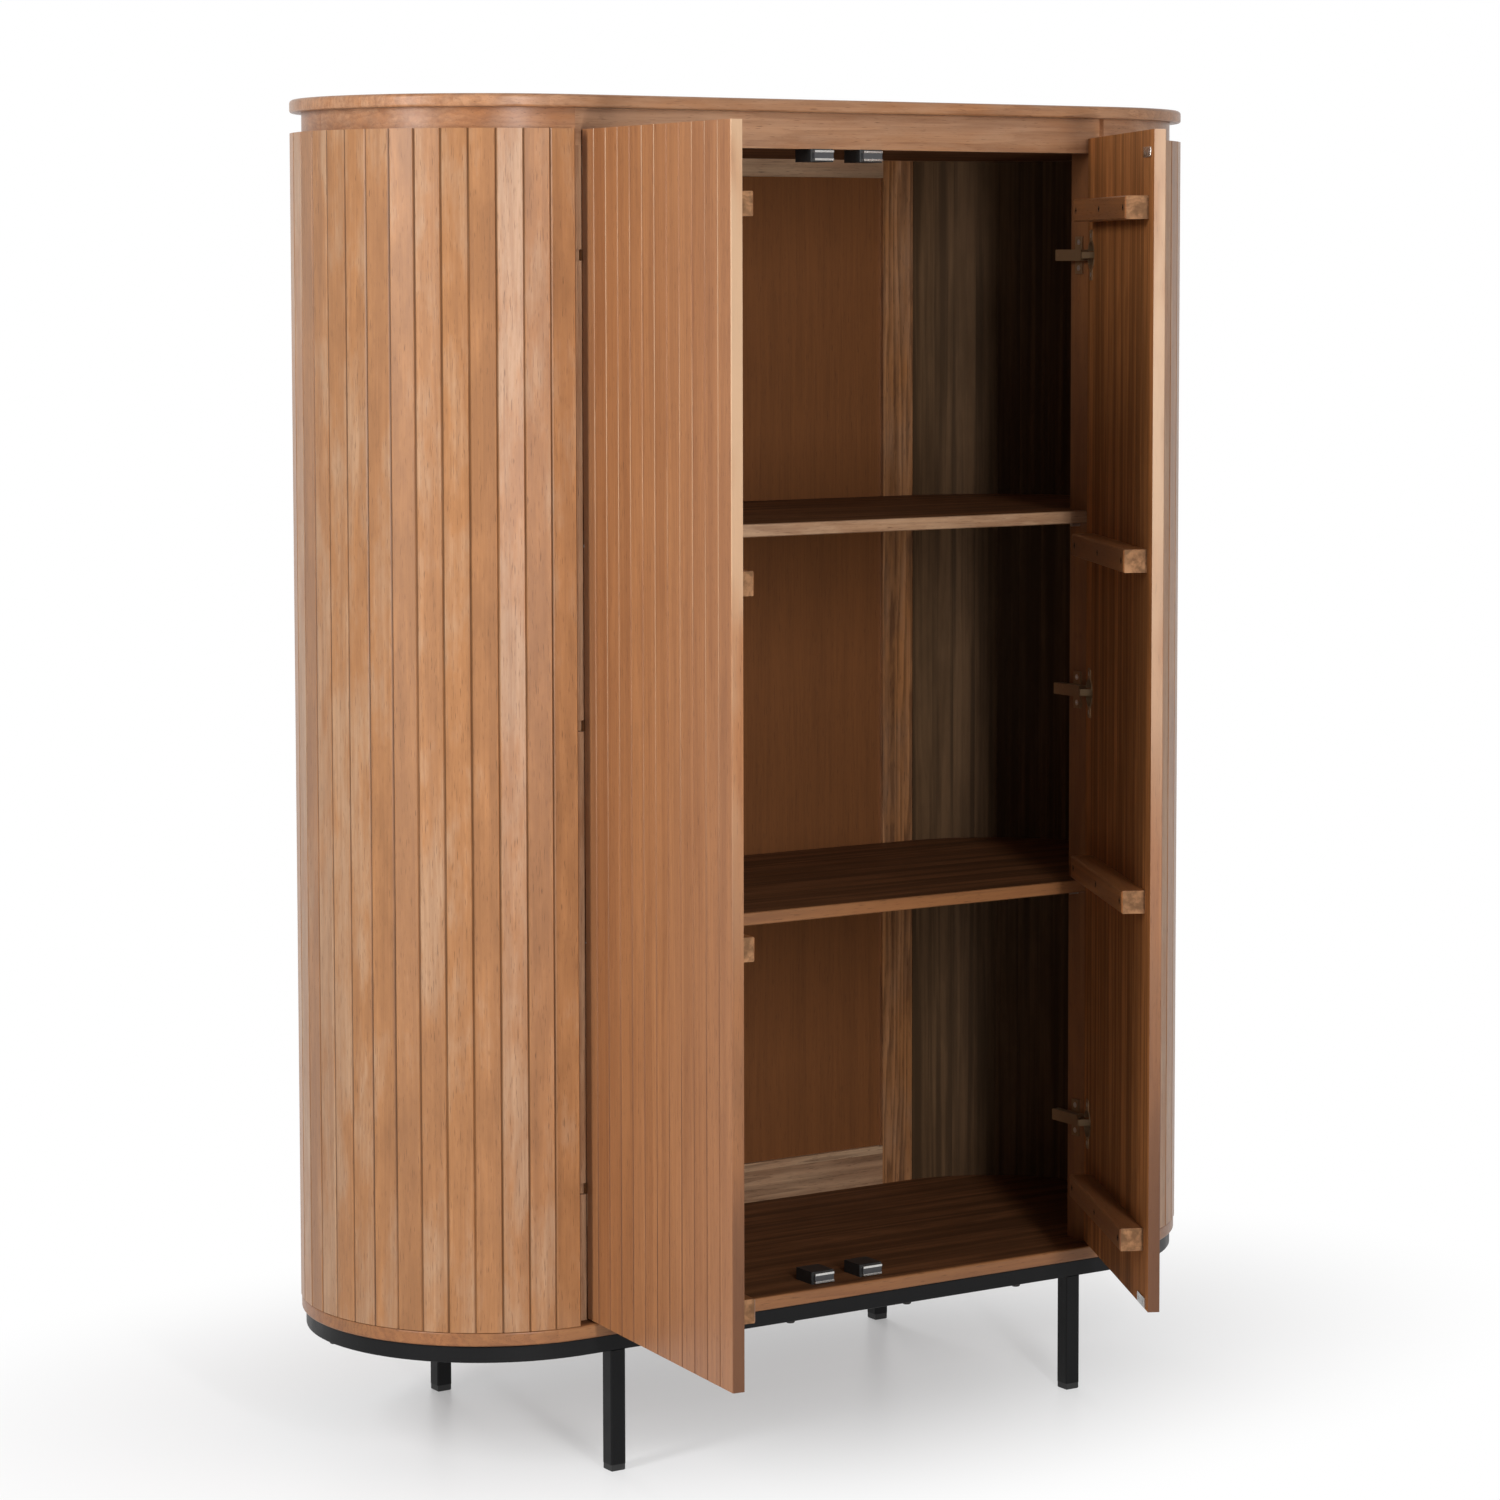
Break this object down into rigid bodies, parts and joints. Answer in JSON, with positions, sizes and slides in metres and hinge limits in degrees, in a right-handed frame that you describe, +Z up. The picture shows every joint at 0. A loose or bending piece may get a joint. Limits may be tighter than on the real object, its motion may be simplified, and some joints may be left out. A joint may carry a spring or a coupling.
{
  "type": "storage cabinet",
  "caption": "Tall pill-shaped storage cabinet with rounded ends of upright slats, slatted doors, inner shelves and a steel ring base on square legs.",
  "frame": {"origin": "middle of the cabinet's pill-shaped plan, at floor level under the feet", "axes": "+Z up, -Y out of the doors, +X to the right as seen from the front"},
  "size_m": [1.21, 0.8098, 1.6],
  "materials": {
    "outer_wood": "oiled, satin, warm mid-brown with open grain",
    "frame_wood": "oiled, satin, a little darker than the slats",
    "panel_wood": "veneer, satin, darker brown",
    "black_steel": "black powder coat, satin",
    "black_plastic": "moulded, matt",
    "black_screw": "blackened steel",
    "plated_steel": "nickel plated",
    "magnet": "sintered, dull grey"
  },
  "bodies": {
    "cabinet": {"top_board": "outer_wood", "front_frieze_rail": "frame_wood", "back_frieze_rail": "frame_wood", "left_frieze_rail": "frame_wood", "right_frieze_rail": "frame_wood", "ceiling_board": "frame_wood", "bottom_board": "frame_wood", "left_end_slats": "outer_wood", "right_end_slats": "outer_wood", "front_left_stile": "frame_wood", "front_right_stile": "frame_wood", "back_left_stile": "frame_wood", "back_right_stile": "frame_wood", "back_top_rail": "frame_wood", "back_bottom_rail": "frame_wood", "back_panel": "panel_wood", "upper_shelf": "frame_wood", "lower_shelf": "frame_wood", "shelf_pins": "plated_steel", "front_base_tube": "black_steel", "back_base_tube": "black_steel", "left_base_tube": "black_steel", "right_base_tube": "black_steel", "front_left_leg": "black_steel", "front_right_leg": "black_steel", "back_left_leg": "black_steel", "back_right_leg": "black_steel", "foot_plugs": "black_plastic", "base_screws": "plated_steel", "catch_housings": "black_plastic", "catch_magnets": "magnet", "catch_pole_plates": "plated_steel", "catch_screws": "plated_steel", "hinge_arms": "plated_steel", "hinge_mounting_plates": "plated_steel", "hinge_plate_screws": "plated_steel"},
    "left_door": {"left_door_slats": "outer_wood", "left_door_bottom_batten": "frame_wood", "left_door_lower_batten": "frame_wood", "left_door_upper_batten": "frame_wood", "left_door_top_batten": "frame_wood", "left_door_batten_screws": "black_screw", "left_door_small_screws": "plated_steel", "left_hinge_cups": "plated_steel", "left_hinge_pins": "plated_steel", "left_strike_plates": "plated_steel"},
    "right_door": {"right_door_slats": "outer_wood", "right_door_bottom_batten": "frame_wood", "right_door_lower_batten": "frame_wood", "right_door_upper_batten": "frame_wood", "right_door_top_batten": "frame_wood", "right_door_batten_screws": "black_screw", "right_door_small_screws": "plated_steel", "right_hinge_cups": "plated_steel", "right_hinge_pins": "plated_steel", "right_strike_plates": "plated_steel"}
  },
  "joints": [
    {"name": "left_door_hinge", "type": "hinge", "parent": "cabinet", "child": "left_door", "pos_m": [-0.362, -0.2226, 0.877], "axis": [0, 0, -1], "range_deg": [-95.6, 8.4]},
    {"name": "right_door_hinge", "type": "hinge", "parent": "cabinet", "child": "right_door", "pos_m": [0.362, -0.2226, 0.877], "axis": [0, 0, 1], "range_deg": [-64.3, 39.7]}
  ]
}
